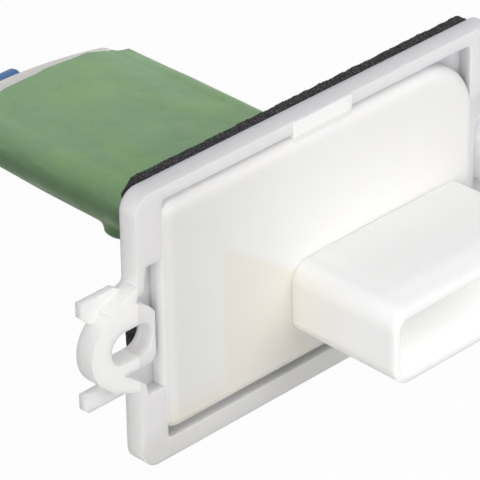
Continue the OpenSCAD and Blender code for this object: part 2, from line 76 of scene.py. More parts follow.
# %% Place the camera
AZIMUTH = math.radians(-44.05)
ELEVATION = math.radians(31.01)
ROLL = math.radians(-1.02)
TARGET = Vector((-15.55, 0.0, 5.72)) * MM
DISTANCE = 626.57 * MM
LENS, SENSOR_WIDTH = 294.24, 36.0
FAR_CLIP = 20.0

level = Vector((math.cos(AZIMUTH), math.sin(AZIMUTH), 0.0))
outward = Vector((math.sin(AZIMUTH), -math.cos(AZIMUTH), 0.0))
back = outward * math.cos(ELEVATION) + Vector((0.0, 0.0, math.sin(ELEVATION)))
upright = back.cross(level)
right = level * math.cos(ROLL) + upright * math.sin(ROLL)
up = upright * math.cos(ROLL) - level * math.sin(ROLL)

camera_data = bpy.data.cameras.new("camera")
camera_data.lens = LENS
camera_data.sensor_width = SENSOR_WIDTH
camera_data.clip_end = FAR_CLIP
camera = bpy.data.objects.new("camera", camera_data)
bpy.context.scene.collection.objects.link(camera)
turned = Matrix((right, up, back)).transposed().to_4x4()
camera.matrix_world = Matrix.Translation(TARGET + back * DISTANCE) @ turned
bpy.context.scene.camera = camera
print("camera at, in mm:", [round(value / MM) for value in camera.matrix_world.translation])

# %% [markdown]
# ## Floor
# The floor is far enough below for the shadow to stay soft. What the camera sees of floor and world is
# white because of their own colour, through Light Path, and not because of more light on the part.

# %% Lay the floor
FLOOR_DROP, FLOOR_REACH = 95 * MM, 3.0
SHADOW_SHARE = 0.05
FLOOR_BOUNCE, FLOOR_ROUGHNESS = 0.42, 0.9


def white_for_camera(tree, lit, surface, share):
    """Mixes plain white into what the camera, mirrors and clear pieces see, and leaves the rest lit."""
    rays = tree.nodes.new("ShaderNodeLightPath").outputs
    seen = rays["Is Camera Ray"]
    for name in ("Is Glossy Ray", "Is Transmission Ray"):
        either = tree.nodes.new("ShaderNodeMath")
        either.operation = "MAXIMUM"
        tree.links.new(seen, either.inputs[0])
        tree.links.new(rays[name], either.inputs[1])
        seen = either.outputs[0]
    part = tree.nodes.new("ShaderNodeMath")
    part.operation = "MULTIPLY"
    part.inputs[1].default_value = share
    tree.links.new(seen, part.inputs[0])
    white = tree.nodes.new("ShaderNodeEmission")
    white.inputs["Color"].default_value = (1, 1, 1, 1)
    white.inputs["Strength"].default_value = 1.0
    mix = tree.nodes.new("ShaderNodeMixShader")
    tree.links.new(part.outputs[0], mix.inputs[0])
    tree.links.new(lit, mix.inputs[1])
    tree.links.new(white.outputs[0], mix.inputs[2])
    tree.links.new(mix.outputs[0], surface)


def floor_paint():
    """A matt paint: white to the camera with a little shadow left, and greyer in the light it returns."""
    paint = bpy.data.materials.new("pale_floor")
    paint.use_nodes = True
    tree = paint.node_tree
    shader = tree.nodes["Principled BSDF"]
    shader.inputs["Roughness"].default_value = FLOOR_ROUGHNESS
    is_camera = tree.nodes.new("ShaderNodeLightPath").outputs["Is Camera Ray"]
    colour = tree.nodes.new("ShaderNodeMix")
    colour.data_type = "RGBA"
    colour.inputs["A"].default_value = (FLOOR_BOUNCE, FLOOR_BOUNCE, FLOOR_BOUNCE, 1)
    colour.inputs["B"].default_value = (1, 1, 1, 1)
    tree.links.new(is_camera, colour.inputs["Factor"])
    tree.links.new(colour.outputs["Result"], shader.inputs["Base Color"])
    surface = tree.nodes["Material Output"].inputs["Surface"]
    white_for_camera(tree, shader.outputs[0], surface, 1 - SHADOW_SHARE)
    return paint


def make_floor():
    """Lays a square floor below the part."""
    mesh = bpy.data.meshes.new("floor")
    height = cad_box[0][2] - FLOOR_DROP
    signs = ((-1, -1), (1, -1), (1, 1), (-1, 1))
    mesh.from_pydata([(x * FLOOR_REACH, y * FLOOR_REACH, height) for x, y in signs], [], [(0, 1, 2, 3)])
    mesh.materials.append(floor_paint())
    floor = bpy.data.objects.new("floor", mesh)
    bpy.context.scene.collection.objects.link(floor)


make_floor()
print("floor:", round(FLOOR_DROP / MM), "mm below the part")

# %% [markdown]
# ## Lamps and world
# White goods on white need soft light from all sides. A large softbox stands in front on the right and a
# weak, cool one hangs above. A third one stands low on the left. It lights only the housing, because coat
# and foam are dark by nature and would turn pale in it. A narrow snoot adds light on the corner of the
# socket. The world fills in the rest.

# %% Light the set
MIDDLE, SOCKET_CORNER = (0, 0, 0), (0.024, -0.026, -0.008)
PLAIN_WHITE, WARM_WHITE, COOL_WHITE = (1, 1, 1), (1, 0.985, 0.955), (0.96, 0.93, 1)
SKY_COLOUR, SKY_LEVEL = (0.97, 0.98, 1.0, 1), 0.46


def add_lamp(name, kind, place, aim, watts, colour, **settings):
    """Adds a lamp of a kind at a place and turns it towards a point."""
    data = bpy.data.lights.new(name, kind)
    data.energy = watts
    data.color = colour
    for setting, value in settings.items():
        setattr(data, setting, value)
    lamp = bpy.data.objects.new(name, data)
    bpy.context.scene.collection.objects.link(lamp)
    place = Vector(place)
    towards = (Vector(aim) - place).to_track_quat("-Z", "Y").to_matrix().to_4x4()
    lamp.matrix_world = Matrix.Translation(place) @ towards
    print(f"{name}: {watts} W, {round((Vector(aim) - place).length, 2)} m away")
    return lamp


add_lamp("front_softbox", "AREA", (0.25, -0.95, 0.55), MIDDLE, 4.9, WARM_WHITE, shape="DISK", size=0.8)
add_lamp("top_softbox", "AREA", (-0.1, -0.05, 1.05), MIDDLE, 0.8, COOL_WHITE, shape="DISK", size=0.7)
fill = add_lamp("left_fill", "AREA", (-0.87, -0.67, 0.03), MIDDLE, 6.9, WARM_WHITE, shape="DISK", size=0.7)
add_lamp("socket_snoot", "SPOT", (-0.26, -0.46, 0.17), SOCKET_CORNER, 6.0, PLAIN_WHITE,
         spot_size=math.radians(8.5), spot_blend=1.0, shadow_soft_size=0.06)

world = bpy.data.worlds.new("plain_studio")
world.use_nodes = True
bpy.context.scene.world = world
sky = world.node_tree.nodes["Background"]
sky.inputs["Color"].default_value = SKY_COLOUR
sky.inputs["Strength"].default_value = SKY_LEVEL
world_surface = world.node_tree.nodes["World Output"].inputs["Surface"]
white_for_camera(world.node_tree, sky.outputs[0], world_surface, 1.0)
bpy.context.scene.view_settings.view_transform = "Standard"
print("lamps:", [lamp.name for lamp in bpy.data.lights])

# %% [markdown]
# ## Helpers for surfaces
# Every finish below starts from one Principled shader and adds its own noise. Patterns read Object
# coordinates, which are metres in the part's own frame, so a noise scale of 1000 means details of about a
# millimetre. A tone can be kept to a place: a block of the part, or faces that look one way. Masks are
# numbers from 0 to 1 and are multiplied.


# %% Material helpers
NOISE_ROUGHNESS, NOISE_LOW, NOISE_HIGH = 0.55, 0.3, 0.7


class Finish:
    """A material under construction: one Principled shader and the nodes that feed it."""

    def __init__(self, name, colour, roughness, **sockets):
        self.material = bpy.data.materials.new(name)
        self.material.use_nodes = True
        self.tree = self.material.node_tree
        self.shader = self.tree.nodes["Principled BSDF"]
        self.shader.inputs["Base Color"].default_value = (*colour, 1)
        self.shader.inputs["Roughness"].default_value = roughness
        for socket, value in sockets.items():
            self.shader.inputs[socket.replace("_", " ")].default_value = value
        self.place = self.tree.nodes.new("ShaderNodeTexCoord").outputs["Object"]
        self.bumped = None

    def link(self, a, b):
        self.tree.links.new(a, b)

    def noise(self, scale, detail, stretch=(1, 1, 1)):
        """Soft noise; a small number in the stretch draws its grains out along that axis."""
        mapping = self.tree.nodes.new("ShaderNodeMapping")
        mapping.inputs["Scale"].default_value = stretch
        self.link(self.place, mapping.inputs["Vector"])
        node = self.tree.nodes.new("ShaderNodeTexNoise")
        node.inputs["Scale"].default_value = scale
        node.inputs["Detail"].default_value = detail
        node.inputs["Roughness"].default_value = NOISE_ROUGHNESS
        self.link(mapping.outputs["Vector"], node.inputs["Vector"])
        return node.outputs["Fac"]

    def cells(self, scale):
        """Distance to the nearest of many random points, as bubbles have it."""
        node = self.tree.nodes.new("ShaderNodeTexVoronoi")
        node.inputs["Scale"].default_value = scale
        self.link(self.place, node.inputs["Vector"])
        return node.outputs["Distance"]

    def spread(self, value, low, high, to_low=0.0, to_high=1.0):
        """Carries a value from one range over to another, and holds it at the ends."""
        node = self.tree.nodes.new("ShaderNodeMapRange")
        limits = {"From Min": low, "From Max": high, "To Min": to_low, "To Max": to_high}
        for socket, number in limits.items():
            node.inputs[socket].default_value = number
        self.link(value, node.inputs["Value"])
        return node.outputs["Result"]

    def axis(self, name, source):
        """One coordinate of a place or a normal."""
        node = self.tree.nodes.new("ShaderNodeSeparateXYZ")
        self.link(source, node.inputs[0])
        return node.outputs[name]

    def along(self, name, low, high, to_low=0.0, to_high=1.0):
        """Fades from one number to another between two places on an axis, given in millimetres."""
        return self.spread(self.axis(name, self.place), low * MM, high * MM, to_low, to_high)

    def facing(self, name, start, full):
        """Rises from 0 to 1 while the faces turn along an axis, between two parts of their normal."""
        normal = self.tree.nodes.new("ShaderNodeNewGeometry").outputs["Normal"]
        return self.spread(self.axis(name, normal), start, full)

    def block(self, ranges):
        """1 inside a block given by its X, Y and Z ranges in millimetres, else 0."""
        inside = 1.0
        for name, (low, high) in zip("XYZ", ranges):
            value = self.axis(name, self.place)
            for operation, limit in (("GREATER_THAN", low), ("LESS_THAN", high)):
                inside = self.math("MULTIPLY", inside, self.math(operation, value, limit * MM))
        return inside

    def math(self, operation, a, b):
        """Works one operation on two values, each a number or the output of a node."""
        node = self.tree.nodes.new("ShaderNodeMath")
        node.operation = operation
        for socket, value in zip(node.inputs, (a, b)):
            if isinstance(value, (int, float)):
                socket.default_value = value
            else:
                self.link(value, socket)
        return node.outputs[0]

    def tint(self, factor, colour):
        """Mixes a colour over what the base colour has so far."""
        base = self.shader.inputs["Base Color"]
        mix = self.tree.nodes.new("ShaderNodeMix")
        mix.data_type = "RGBA"
        if base.is_linked:
            self.link(base.links[0].from_socket, mix.inputs["A"])
        else:
            mix.inputs["A"].default_value = base.default_value
        mix.inputs["B"].default_value = (*colour, 1)
        self.link(factor, mix.inputs["Factor"])
        self.link(mix.outputs["Result"], base)

    # painted light and shade: every use of this helper stands for shade or light, not for a stain
    def paint_shading(self, colour, strength, *masks):
        """Paints light and shade as a tint where all the masks overlap, at most by the given strength."""
        factor = strength
        for mask in masks:
            factor = self.math("MULTIPLY", mask, factor)
        self.tint(factor, colour)

    def patches(self, colour, share, scale, detail, start, full):
        """Lays soft patches of a colour over the base, where a noise lies between start and full."""
        self.tint(self.spread(self.noise(scale, detail), start, full, 0.0, share), colour)

    def rough(self, value, low, high):
        """Lets the roughness follow a noise, from a low to a high value."""
        follows = self.spread(value, NOISE_LOW, NOISE_HIGH, low, high)
        self.link(follows, self.shader.inputs["Roughness"])

    def bump(self, height, distance, strength):
        """Adds a relief over those before; the distance is its height in metres."""
        node = self.tree.nodes.new("ShaderNodeBump")
        node.inputs["Strength"].default_value = strength
        node.inputs["Distance"].default_value = distance
        self.link(height, node.inputs["Height"])
        if self.bumped is not None:
            self.link(self.bumped, node.inputs["Normal"])
        self.bumped = node.outputs["Normal"]
        self.link(self.bumped, self.shader.inputs["Normal"])

    def grain(self, scale, detail, distance, strength):
        """Adds a relief of soft noise."""
        self.bump(self.noise(scale, detail), distance, strength)


def dress(name, finish):
    """Gives a CAD node a finish without touching its mesh."""
    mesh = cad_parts[name].data
    mesh.materials.clear()
    mesh.materials.append(finish.material)


# %% [markdown]
# ## Helpers for pieces
# A CAD node is a crisp solid, but a moulding or a stamped blade never has razor edges. A copy of the node
# is merged and its flat faces are joined, and then every edge sharper than a set angle gets a small
# round. Weighted normals keep the flat faces flat beside the rounds. The copy takes the node's place, so
# the sizes stay those of the CAD.


# %% Piece helpers
WELD_DISTANCE = 2e-6
FLAT_ANGLE, SMOOTH_ANGLE = math.radians(0.5), math.radians(40)


def add_piece(name, mesh, finish, replaced):
    """Puts a finished mesh into the scene as a piece that stands for a CAD node."""
    piece = bpy.data.objects.new(name, mesh)
    bpy.context.scene.collection.objects.link(piece)
    mesh.materials.clear()
    mesh.materials.append(finish.material)
    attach(piece, "root")
    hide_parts(replaced)
    print(f"{name}: {sum(len(face.vertices) - 2 for face in mesh.polygons)} triangles")
    return piece


def merged_copy(node):
    """A copy of a node's mesh whose doubled points are welded."""
    bm = bmesh.new()
    bm.from_mesh(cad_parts[node].data)
    bmesh.ops.remove_doubles(bm, verts=bm.verts, dist=WELD_DISTANCE)
    return bm


def modified(mesh, kind, **settings):
    """Runs one modifier on a mesh and gives back the result as a plain mesh."""
    work = bpy.data.objects.new(mesh.name + "_work", mesh)
    bpy.context.scene.collection.objects.link(work)
    modifier = work.modifiers.new(kind.lower(), kind)
    for setting, value in settings.items():
        setattr(modifier, setting, value)
    result = bpy.data.meshes.new_from_object(work.evaluated_get(bpy.context.evaluated_depsgraph_get()))
    bpy.data.objects.remove(work)
    return result


def soft_copy(node, radius, sharp=28.0, shape=None):
    """A copy of a node, reshaped if asked, with edges over `sharp` degrees rounded by `radius` metres."""
    bm = merged_copy(node)
    bmesh.ops.dissolve_limit(bm, angle_limit=FLAT_ANGLE, verts=bm.verts, edges=bm.edges)
    if shape is not None:
        shape(bm)
    closed = [edge for edge in bm.edges if edge.is_manifold]
    edges = [edge for edge in closed if math.degrees(edge.calc_face_angle(0.0)) > sharp]
    bmesh.ops.bevel(bm, geom=edges, offset=radius, segments=3, profile=0.5,
                    affect="EDGES", clamp_overlap=True)
    bmesh.ops.remove_doubles(bm, verts=bm.verts, dist=WELD_DISTANCE)
    bmesh.ops.triangulate(bm, faces=[face for face in bm.faces if len(face.verts) > 4])
    mesh = bpy.data.meshes.new(node + "_soft")
    bm.to_mesh(mesh)
    bm.free()
    mesh.shade_smooth()
    mesh.set_sharp_from_angle(angle=SMOOTH_ANGLE)
    return modified(mesh, "WEIGHTED_NORMAL", weight=50, keep_sharp=True)


def even_skin(node, voxel):
    """A copy of a node remade as a skin of even small faces, ready to be pushed about."""
    bm = merged_copy(node)
    mesh = bpy.data.meshes.new(node + "_skin")
    bm.to_mesh(mesh)
    bm.free()
    return modified(mesh, "REMESH", mode="VOXEL", voxel_size=voxel, use_smooth_shade=True)


def read_vectors(mesh, name):
    """Reads the points ("co") or the normals ("normal") of a mesh as rows of three numbers."""
    flat = np.zeros(len(mesh.vertices) * 3, np.float32)
    mesh.vertices.foreach_get(name, flat)
    return flat.reshape(-1, 3).astype(float)


def set_points(mesh, points):
    mesh.vertices.foreach_set("co", points.astype(np.float32).ravel())
    mesh.update()


def waves(points, length, seed):
    """Smooth random heights from -1 to 1 that change over about `length` metres."""
    shift = Vector((seed * 17.3, seed * 5.1, seed * 9.7))
    return np.array([noise.noise(Vector(point) / length + shift) for point in points])


# %% [markdown]
# ## Helper for node trees
# What repeats, or follows a rule, is made by Geometry Nodes. A tree is built here from named inputs, run
# once on a mesh, and its result is kept as a plain mesh, so that nothing depends on a live modifier.


# %% Tree helper
class Tree:
    """A Geometry Nodes tree under construction, with named inputs and short calls for its nodes."""

    def __init__(self, name, inputs):
        self.group = bpy.data.node_groups.new(name, "GeometryNodeTree")
        self.keys = {}
        self.group.interface.new_socket("Geometry", in_out="INPUT", socket_type="NodeSocketGeometry")
        for label, kind in inputs:
            socket = self.group.interface.new_socket(label, in_out="INPUT", socket_type=f"NodeSocket{kind}")
            self.keys[label] = socket.identifier
        self.group.interface.new_socket("Geometry", in_out="OUTPUT", socket_type="NodeSocketGeometry")
        self.given = self.group.nodes.new("NodeGroupInput").outputs

    def add(self, kind, sources=(), **settings):
        """Adds a node; sources are (socket name or number, value or output socket)."""
        node = self.group.nodes.new(kind)
        for key, value in settings.items():
            setattr(node, key, value)
        for key, source in sources:
            if isinstance(source, (int, float, tuple)):
                node.inputs[key].default_value = source
            else:
                self.group.links.new(source, node.inputs[key])
        return node

    def math(self, operation, a, b=0.0):
        return self.add("ShaderNodeMath", ((0, a), (1, b)), operation=operation).outputs[0]

    def ramp(self, value, low, high):
        """A smooth step of a value from 0 at low to 1 at high."""
        return self.add("ShaderNodeMapRange", (("Value", value), ("From Min", low), ("From Max", high)),
                        interpolation_type="SMOOTHSTEP").outputs["Result"]

    def close(self, geometry, material):
        """Ends the tree in Realize Instances and Set Material."""
        real = self.add("GeometryNodeRealizeInstances", (("Geometry", geometry),)).outputs[0]
        done = self.add("GeometryNodeSetMaterial", (("Geometry", real), ("Material", material))).outputs[0]
        self.add("NodeGroupOutput", (("Geometry", done),))

    def apply(self, mesh, values):
        """Runs the tree on a mesh with the named values and gives back a plain mesh."""
        work = bpy.data.objects.new(self.group.name + "_work", mesh)
        bpy.context.scene.collection.objects.link(work)
        modifier = work.modifiers.new("tree", "NODES")
        modifier.node_group = self.group
        for label, value in values.items():
            modifier[self.keys[label]] = value
        result = bpy.data.meshes.new_from_object(work.evaluated_get(bpy.context.evaluated_depsgraph_get()))
        work.modifiers.remove(modifier)
        bpy.data.objects.remove(work)
        return result


# %% [markdown]
# ## White nylon
# The base is one moulding of unfilled nylon, a milky plastic. Light goes a little way into it, so thin
# floors over the black foam look grey and thick walls look white. Subsurface scattering does that where
# light crosses the wall. An exported model can't scatter light, so the next cells also paint shade and
# light into the base colour by place.

# %% Make the nylon
MILK_WHITE, CREAM = (0.90, 0.90, 0.895), (0.88, 0.86, 0.81)
nylon = Finish("natural_nylon", MILK_WHITE, 0.36, Subsurface_Weight=0.85, Subsurface_Scale=3.0 * MM,
               Subsurface_Radius=(1.0, 0.95, 0.85), IOR=1.5)
nylon.patches(CREAM, 0.35, 60, 3.0, 0.35, 0.7)
nylon.rough(nylon.noise(900, 3.0), 0.42, 0.56)
nylon.grain(260, 2.0, 0.05 * MM, 0.5)
nylon.grain(3500, 2.0, 0.006 * MM, 0.5)
print("plain nylon:", len(nylon.tree.nodes), "nodes")

# %% [markdown]
# ## Painted shade on the panel and the rim
# The raised panel stands over the black foam and gets a painted grey shade, most on its left. The rim gets
# a painted shade with a cool lilac cast where it faces forward or up, and its lowest strip a painted shade
# with an olive cast. A painted texture could carry such tones, but blocks and normals need no unwrapping
# and are read as sizes of the part.

# %% Paint shade on the panel and the rim
GREY, LILAC_SHADE, OLIVE_SHADE = (0.33, 0.34, 0.36), (0.34, 0.31, 0.41), (0.33, 0.35, 0.22)
PANEL = ((-36.5, 35.4), (-4.7, -3.75), (-20, 22.6))
FLANGE = ((-41.4, 41.4), (-40, 1), (-40, 40))
PANEL_SHADE_LEFT, PANEL_SHADE_RIGHT, RIM_TINT, LOW_RIM_SHADE = 0.29, 0.15, 0.25, 0.16
forward = nylon.facing("Y", -0.2, -0.95)
upward = nylon.facing("Z", 0.2, 0.95)
on_panel = nylon.block(PANEL)
on_rim = nylon.math("MULTIPLY", nylon.along("Y", -3.8, -3.7), nylon.block(FLANGE))
low_down = nylon.along("Z", -17, -22)
# painted shade: panel greyer to the left, rim lilac where it faces forward or up, olive low down
nylon.paint_shading(GREY, 1.0, on_panel, nylon.along("X", -34, -8, PANEL_SHADE_LEFT, PANEL_SHADE_RIGHT))
nylon.paint_shading(LILAC_SHADE, RIM_TINT, on_rim, nylon.math("MAXIMUM", forward, upward))
nylon.paint_shading(OLIVE_SHADE, LOW_RIM_SHADE, on_rim, forward, low_down)
print("panel block in mm:", PANEL)

# %% [markdown]
# ## Painted shade in the pocket
# The floors between the rim and the panel are the thinnest walls and lie deep, so the foam shows through
# them and shade falls in them; both are painted as a grey shade. The low groove under the panel gets a
# painted shade with an olive cast, and the pocket's right wall, in shade behind the rim, a greyer one.

# %% Paint shade in the pocket
FLANGE_FRONT, FLOOR_LEVEL = -3.65, -1.2
WALL_DEPTHS = (FLANGE_FRONT + 0.1, FLOOR_LEVEL + 0.05)
POCKET = ((-41, 34.7), (-40, FLOOR_LEVEL + 0.05), (-21.2, 23.1))
LOW_GROOVE = ((-36, 35), WALL_DEPTHS, (-21.3, -19.6))
RIGHT_WALL = ((33, 34.8), WALL_DEPTHS, (-21.2, 23.1))
FLOOR_SHADE, GROOVE_SHADE, WALL_SHADE = 0.34, 0.12, 0.45
past_boss = nylon.along("X", -40.8, -37.5)
sunk = nylon.along("Y", FLANGE_FRONT + 0.1, FLANGE_FRONT + 1.2)
facing_left = nylon.facing("X", -0.4, -0.95)
# painted shade on the deep pocket floors, in the low groove and on the right wall
nylon.paint_shading(GREY, FLOOR_SHADE, sunk, nylon.block(POCKET), past_boss)
nylon.paint_shading(OLIVE_SHADE, GROOVE_SHADE, nylon.block(LOW_GROOVE))
nylon.paint_shading(GREY, WALL_SHADE, facing_left, nylon.block(RIGHT_WALL))
print("pocket block in mm:", POCKET)

# %% [markdown]
# ## Warm painted shade beside the socket
# Left of the socket the panel gets a warm painted shade, which stands partly for the socket's shadow and
# partly for the collar behind the panel showing through. It begins at a line left of the socket, under a
# slanted line that leads to the socket's top, and it also covers the panel's lowest strip. The socket's
# left side gets a warm painted shade as well, strongest at its root.

# %% Paint warm shade beside the socket
WARM = (0.74, 0.66, 0.52)
SHADOW_AND_THROUGH_TINT, SIDE_SHADE_AT_ROOT, SIDE_SHADE_AT_MOUTH = 0.34, 0.38, 0.1
SOCKET_LEFT, PANEL_FRONT = -8.5 * MM, -4.55 * MM
TONE_STARTS, TONE_FULL = 15.8 * MM, 14.6 * MM
SLANT, SLANT_FADE = 0.7, -1.8 * MM
SOCKET = ((-50, 50), (-40, PANEL_FRONT / MM - 0.1), (-40, 40))
left_of_socket = nylon.math("SUBTRACT", SOCKET_LEFT, nylon.axis("X", nylon.place))
slant = nylon.math("MULTIPLY", left_of_socket, SLANT)
over_slant = nylon.math("SUBTRACT", nylon.axis("Z", nylon.place), slant)
under_slant = nylon.spread(over_slant, 0.0, SLANT_FADE)
near_socket = nylon.spread(left_of_socket, TONE_STARTS, TONE_FULL)
shade_beside_socket = nylon.math("MULTIPLY", near_socket, under_slant)
low_strip = nylon.along("Z", -13, -16.5)
# warm painted shade left of the socket, partly its shadow, and on the panel's lowest strip
nylon.paint_shading(WARM, SHADOW_AND_THROUGH_TINT, on_panel, nylon.math("MAXIMUM", shade_beside_socket, low_strip))
side_shade = nylon.along("Y", -5, -17, SIDE_SHADE_AT_ROOT, SIDE_SHADE_AT_MOUTH)
# warm painted shade on the socket's left side, strongest at its root
nylon.paint_shading(WARM, 1.0, facing_left, nylon.block(SOCKET), side_shade)
print("warm tone starts at x", round((SOCKET_LEFT - TONE_STARTS) / MM, 1), "mm")

# %% [markdown]
# ## Painted light at the mouth
# Light reaches the socket's thin walls from both sides, so painted light whitens them towards the
# mouth and inside. Inside, light is thrown to and fro between white walls for longer than a render
# follows it. A weak glow inside and at the lip stands for it, and a painted highlight lies on the
# socket's top near the lip.

# %% Paint light on the socket
WHITE, GLOW_COLOUR = (0.97, 0.97, 0.965), (1, 1, 0.98, 1)
LIGHT_WHITENING, INSIDE_GLOW, TOP_HIGHLIGHT, LIP_GLOW = 0.8, 0.2, 0.11, 0.08
INSIDE_SOCKET = ((-7.3, 30.9), (-27.2, -5), (-12.5, -1.5))
inside_socket = nylon.block(INSIDE_SOCKET)
# painted light: whiter towards the mouth and inside the socket
nylon.paint_shading(WHITE, LIGHT_WHITENING, nylon.along("Y", -14, -24))
nylon.paint_shading(WHITE, 1.0, inside_socket)
# painted highlight on the top near the lip, and a painted glow at the lip and inside
towards_lip = nylon.along("Y", -20, -26.5, 0.0, TOP_HIGHLIGHT)
highlight_above = nylon.math("MULTIPLY", towards_lip, nylon.facing("Z", 0.3, 0.9))
glow_at_lip = nylon.along("Y", -26.2, -27.3, 0.0, LIP_GLOW)
glow = nylon.math("ADD", highlight_above, glow_at_lip)
glow = nylon.math("ADD", glow, nylon.math("MULTIPLY", inside_socket, INSIDE_GLOW))
nylon.shader.inputs["Emission Color"].default_value = GLOW_COLOUR
nylon.link(glow, nylon.shader.inputs["Emission Strength"])
print("nylon with its tones:", len(nylon.tree.nodes), "nodes")

# %% [markdown]
# ## The housing
# The moulded housing gets small rounds. The pad on the socket's top has no crisp foot, so its sides are
# spread into soft slopes first. The low lamp on the left is then told to light this piece only.

# %% Make the housing
EDGE_ROUND = 0.28 * MM
PAD_SLOPE, PAD_SINK = 2.9 * MM, 0.22 * MM
PAD_LEFT, PAD_RIGHT = -1.4 * MM, 25.0 * MM
SOCKET_TOP, PAD_TOP = -0.3 * MM, 0.1 * MM
NEAR = 0.02 * MM


def slope_pad(bm):
    """Sinks the low pad on the socket a little and spreads its foot, so that its sides are soft slopes."""
    for point in (vert.co for vert in bm.verts if vert.co.y < PANEL_FRONT + NEAR):
        beside_pad = min(abs(point.x - PAD_LEFT), abs(point.x - PAD_RIGHT)) < NEAR
        if abs(point.z - PAD_TOP) < NEAR:
            point.z -= PAD_SINK
        elif abs(point.z - SOCKET_TOP) < NEAR and beside_pad:
            point.x += PAD_SLOPE if point.x > 0 else -PAD_SLOPE
            if point.y < PANEL_FRONT - NEAR:
                point.y -= PAD_SLOPE


housing_mesh = soft_copy("base_housing", EDGE_ROUND, shape=slope_pad)
housing = add_piece("housing", housing_mesh, nylon, "base_housing")
lit_by_fill = bpy.data.collections.new("lit_by_fill")
lit_by_fill.objects.link(housing)
fill.light_linking.receiver_collection = lit_by_fill

# %% [markdown]
# ## Black foam
# Open foam is a skin of torn bubbles. It is nearly black, with a painted shade in its pores and grey
# specks where a bubble is torn. A pattern of cells stands for the bubbles, and finer noise breaks it up.

# %% Make the foam
BLACK, PORE_SHADE, TORN_GREY = (0.02, 0.02, 0.022), (0.006, 0.006, 0.007), (0.26, 0.25, 0.25)
foam = Finish("black_foam", BLACK, 0.95)
pores = foam.cells(1500)
# painted shade in the pores
foam.tint(foam.spread(pores, 0.0, 0.45, 0.6, 0.0), PORE_SHADE)
foam.patches(TORN_GREY, 0.8, 4200, 2.0, 0.57, 0.68)
foam.bump(pores, 0.25 * MM, 0.9)
foam.grain(2500, 3.0, 0.12 * MM, 0.7)
print("foam:", len(foam.tree.nodes), "nodes")

# %% [markdown]
# ## Foam gasket
# The gasket is cut from a sheet of foam, and its edge is seen against the white housing. A relief in the
# material would leave that edge straight, so the shape itself is made uneven. The node is remade as an
# even skin, and each point is pushed in or out by two sizes of noise. The side that lies on the housing
# is kept off it by a hair. Small crumbs then sit on the cut edges, where the normal has little of the
# sheet's own direction.

# %% Make the gasket
SKIN_FACE, HOUSING_GAP = 0.5 * MM, 0.03 * MM
SLOW_PUSH, SLOW_LENGTH = 0.10 * MM, 2.2 * MM
QUICK_PUSH, QUICK_LENGTH = 0.14 * MM, 0.8 * MM
CRUMBS = {"Per square metre": 2.6e6, "Smallest": 0.07 * MM, "Largest": 0.17 * MM, "Seed": 7}
EDGE_NORMAL, FULL_TURN = 0.6, 6.3


def crumb_tree():
    """Scatters small torn crumbs over the cut edge of a foam sheet that lies across Y."""
    tree = Tree("foam_crumbs", [
        ("Per square metre", "Float"), ("Smallest", "Float"), ("Largest", "Float"),
        ("Seed", "Int"), ("Material", "Material")])
    given = tree.given
    normal = tree.add("GeometryNodeInputNormal").outputs[0]
    facing = tree.math("ABSOLUTE", tree.add("ShaderNodeSeparateXYZ", ((0, normal),)).outputs["Y"])
    is_edge = tree.math("LESS_THAN", facing, EDGE_NORMAL)
    points = tree.add("GeometryNodeDistributePointsOnFaces", (
        ("Mesh", given["Geometry"]), ("Selection", is_edge), ("Density", given["Per square metre"]),
        ("Seed", given["Seed"]))).outputs["Points"]
    crumb = tree.add("GeometryNodeMeshIcoSphere", (("Radius", 1.0), ("Subdivisions", 1))).outputs["Mesh"]
    size = tree.add("FunctionNodeRandomValue", (
        (2, given["Smallest"]), (3, given["Largest"]), ("Seed", given["Seed"])),
        data_type="FLOAT").outputs[1]
    turn = tree.add("FunctionNodeRandomValue", (
        (1, (FULL_TURN, FULL_TURN, FULL_TURN)), ("Seed", given["Seed"])),
        data_type="FLOAT_VECTOR").outputs[0]
    crumbs = tree.add("GeometryNodeInstanceOnPoints", (
        ("Points", points), ("Instance", crumb), ("Scale", size), ("Rotation", turn))).outputs["Instances"]
    both = tree.add("GeometryNodeJoinGeometry", (("Geometry", crumbs),))
    tree.group.links.new(given["Geometry"], both.inputs["Geometry"])
    tree.close(both.outputs["Geometry"], given["Material"])
    return tree


def make_foam_skin():
    """The gasket with an uneven skin and crumbs on its cut edges."""
    mesh = even_skin("foam_gasket", SKIN_FACE)
    points, normals = read_vectors(mesh, "co"), read_vectors(mesh, "normal")
    push = SLOW_PUSH * waves(points, SLOW_LENGTH, 1) + QUICK_PUSH * waves(points, QUICK_LENGTH, 2)
    points += normals * push[:, None]
    points[:, 1] = np.maximum(points[:, 1], HOUSING_GAP)
    set_points(mesh, points)
    return crumb_tree().apply(mesh, {**CRUMBS, "Material": foam.material})


gasket = add_piece("gasket", make_foam_skin(), foam, "foam_gasket")

# %% [markdown]
# ## Ceramic bar
# The bar is pressed and fired without glaze: chalky, a little grainy, with the soft edges that a pressing
# tool leaves. The CAD solid has its bores and its bowed end already, so a rounded copy of it is enough.

# %% Make the ceramic bar
CHALK, DUSTY_CHALK = (0.98, 0.955, 0.925), (0.94, 0.90, 0.86)
BAR_ROUND, CURVE_ANGLE = 0.45 * MM, 35
ceramic = Finish("fired_ceramic", CHALK, 0.82)
ceramic.patches(DUSTY_CHALK, 0.5, 500, 4.0, 0.4, 0.75)
ceramic.grain(2200, 4.0, 0.03 * MM, 0.7)
bar_mesh = soft_copy("ceramic_former", BAR_ROUND, sharp=CURVE_ANGLE)
add_piece("ceramic_bar", bar_mesh, ceramic, "ceramic_former")

# %% [markdown]
# ## Silicone coat
# Dipped silicone is never one flat green. Fresh and dull patches of two sizes lie over each other, with a
# few darker stains, and faces turned away from above get a painted shade of darker green. The reliefs go
# from slow dents to fine wrinkles, each with its own noise, so that no size of detail is missing.

